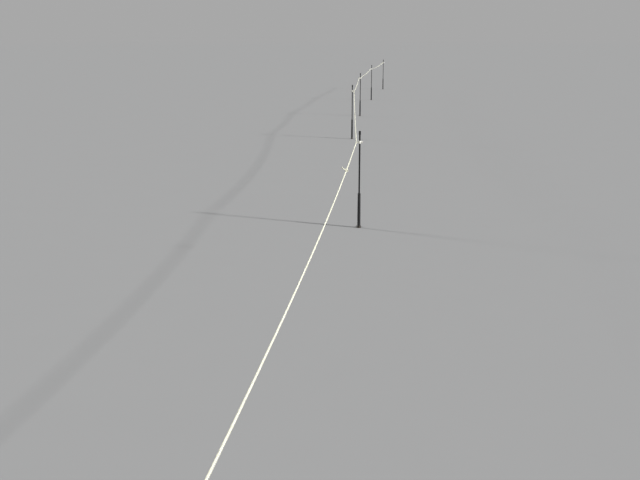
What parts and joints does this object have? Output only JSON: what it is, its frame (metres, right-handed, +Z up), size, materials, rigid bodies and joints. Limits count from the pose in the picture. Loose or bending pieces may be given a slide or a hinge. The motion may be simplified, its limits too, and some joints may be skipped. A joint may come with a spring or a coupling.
{
  "type": "temporary electric fence",
  "caption": "Low temporary electric fence: slim black tread-in stakes that carry one white rope on clamp-on claw insulators, knotted round the end stakes.",
  "frame": {"origin": "centre of the underside of the near stake's foot, at ground level", "axes": "+Y along the run of the fence, away from the viewer; +X to the right of the run; +Z up"},
  "size_m": [0.9493, 23.3012, 0.83],
  "materials": {
    "foot_plastic": "satin moulded black plastic, scuffed and muddied near the ground",
    "rod_fibreglass": "black fibreglass with a fine lengthwise grain",
    "cap_plastic": "satin moulded black plastic",
    "insulator_plastic": "white moulded plastic, slightly yellowed",
    "screw_plastic": "white moulded plastic, worn at its edges",
    "rope": "twisted white plastic strands with fine conductor wires",
    "knot_rope": "the same rope, dirtier where it is handled"
  },
  "bodies": {
    "root": {"foot_1": "foot_plastic", "foot_2": "foot_plastic", "foot_3": "foot_plastic", "foot_4": "foot_plastic", "foot_5": "foot_plastic", "foot_6": "foot_plastic", "rod_1": "rod_fibreglass", "rod_2": "rod_fibreglass", "rod_3": "rod_fibreglass", "rod_4": "rod_fibreglass", "rod_5": "rod_fibreglass", "rod_6": "rod_fibreglass", "cap_1": "cap_plastic", "cap_2": "cap_plastic", "cap_3": "cap_plastic", "cap_4": "cap_plastic", "cap_5": "cap_plastic", "cap_6": "cap_plastic", "insulator_1": "insulator_plastic", "insulator_2": "insulator_plastic", "insulator_3": "insulator_plastic", "insulator_4": "insulator_plastic", "insulator_5": "insulator_plastic", "insulator_6": "insulator_plastic", "clamp_screw_1": "screw_plastic", "clamp_screw_2": "screw_plastic", "clamp_screw_3": "screw_plastic", "clamp_screw_4": "screw_plastic", "clamp_screw_5": "screw_plastic", "clamp_screw_6": "screw_plastic", "rope_1": "rope", "rope_2": "rope", "rope_3": "rope", "rope_4": "rope", "rope_5": "rope", "near_tie": "knot_rope", "far_tie": "knot_rope", "splice_knot": "knot_rope"}
  },
  "joints": []
}
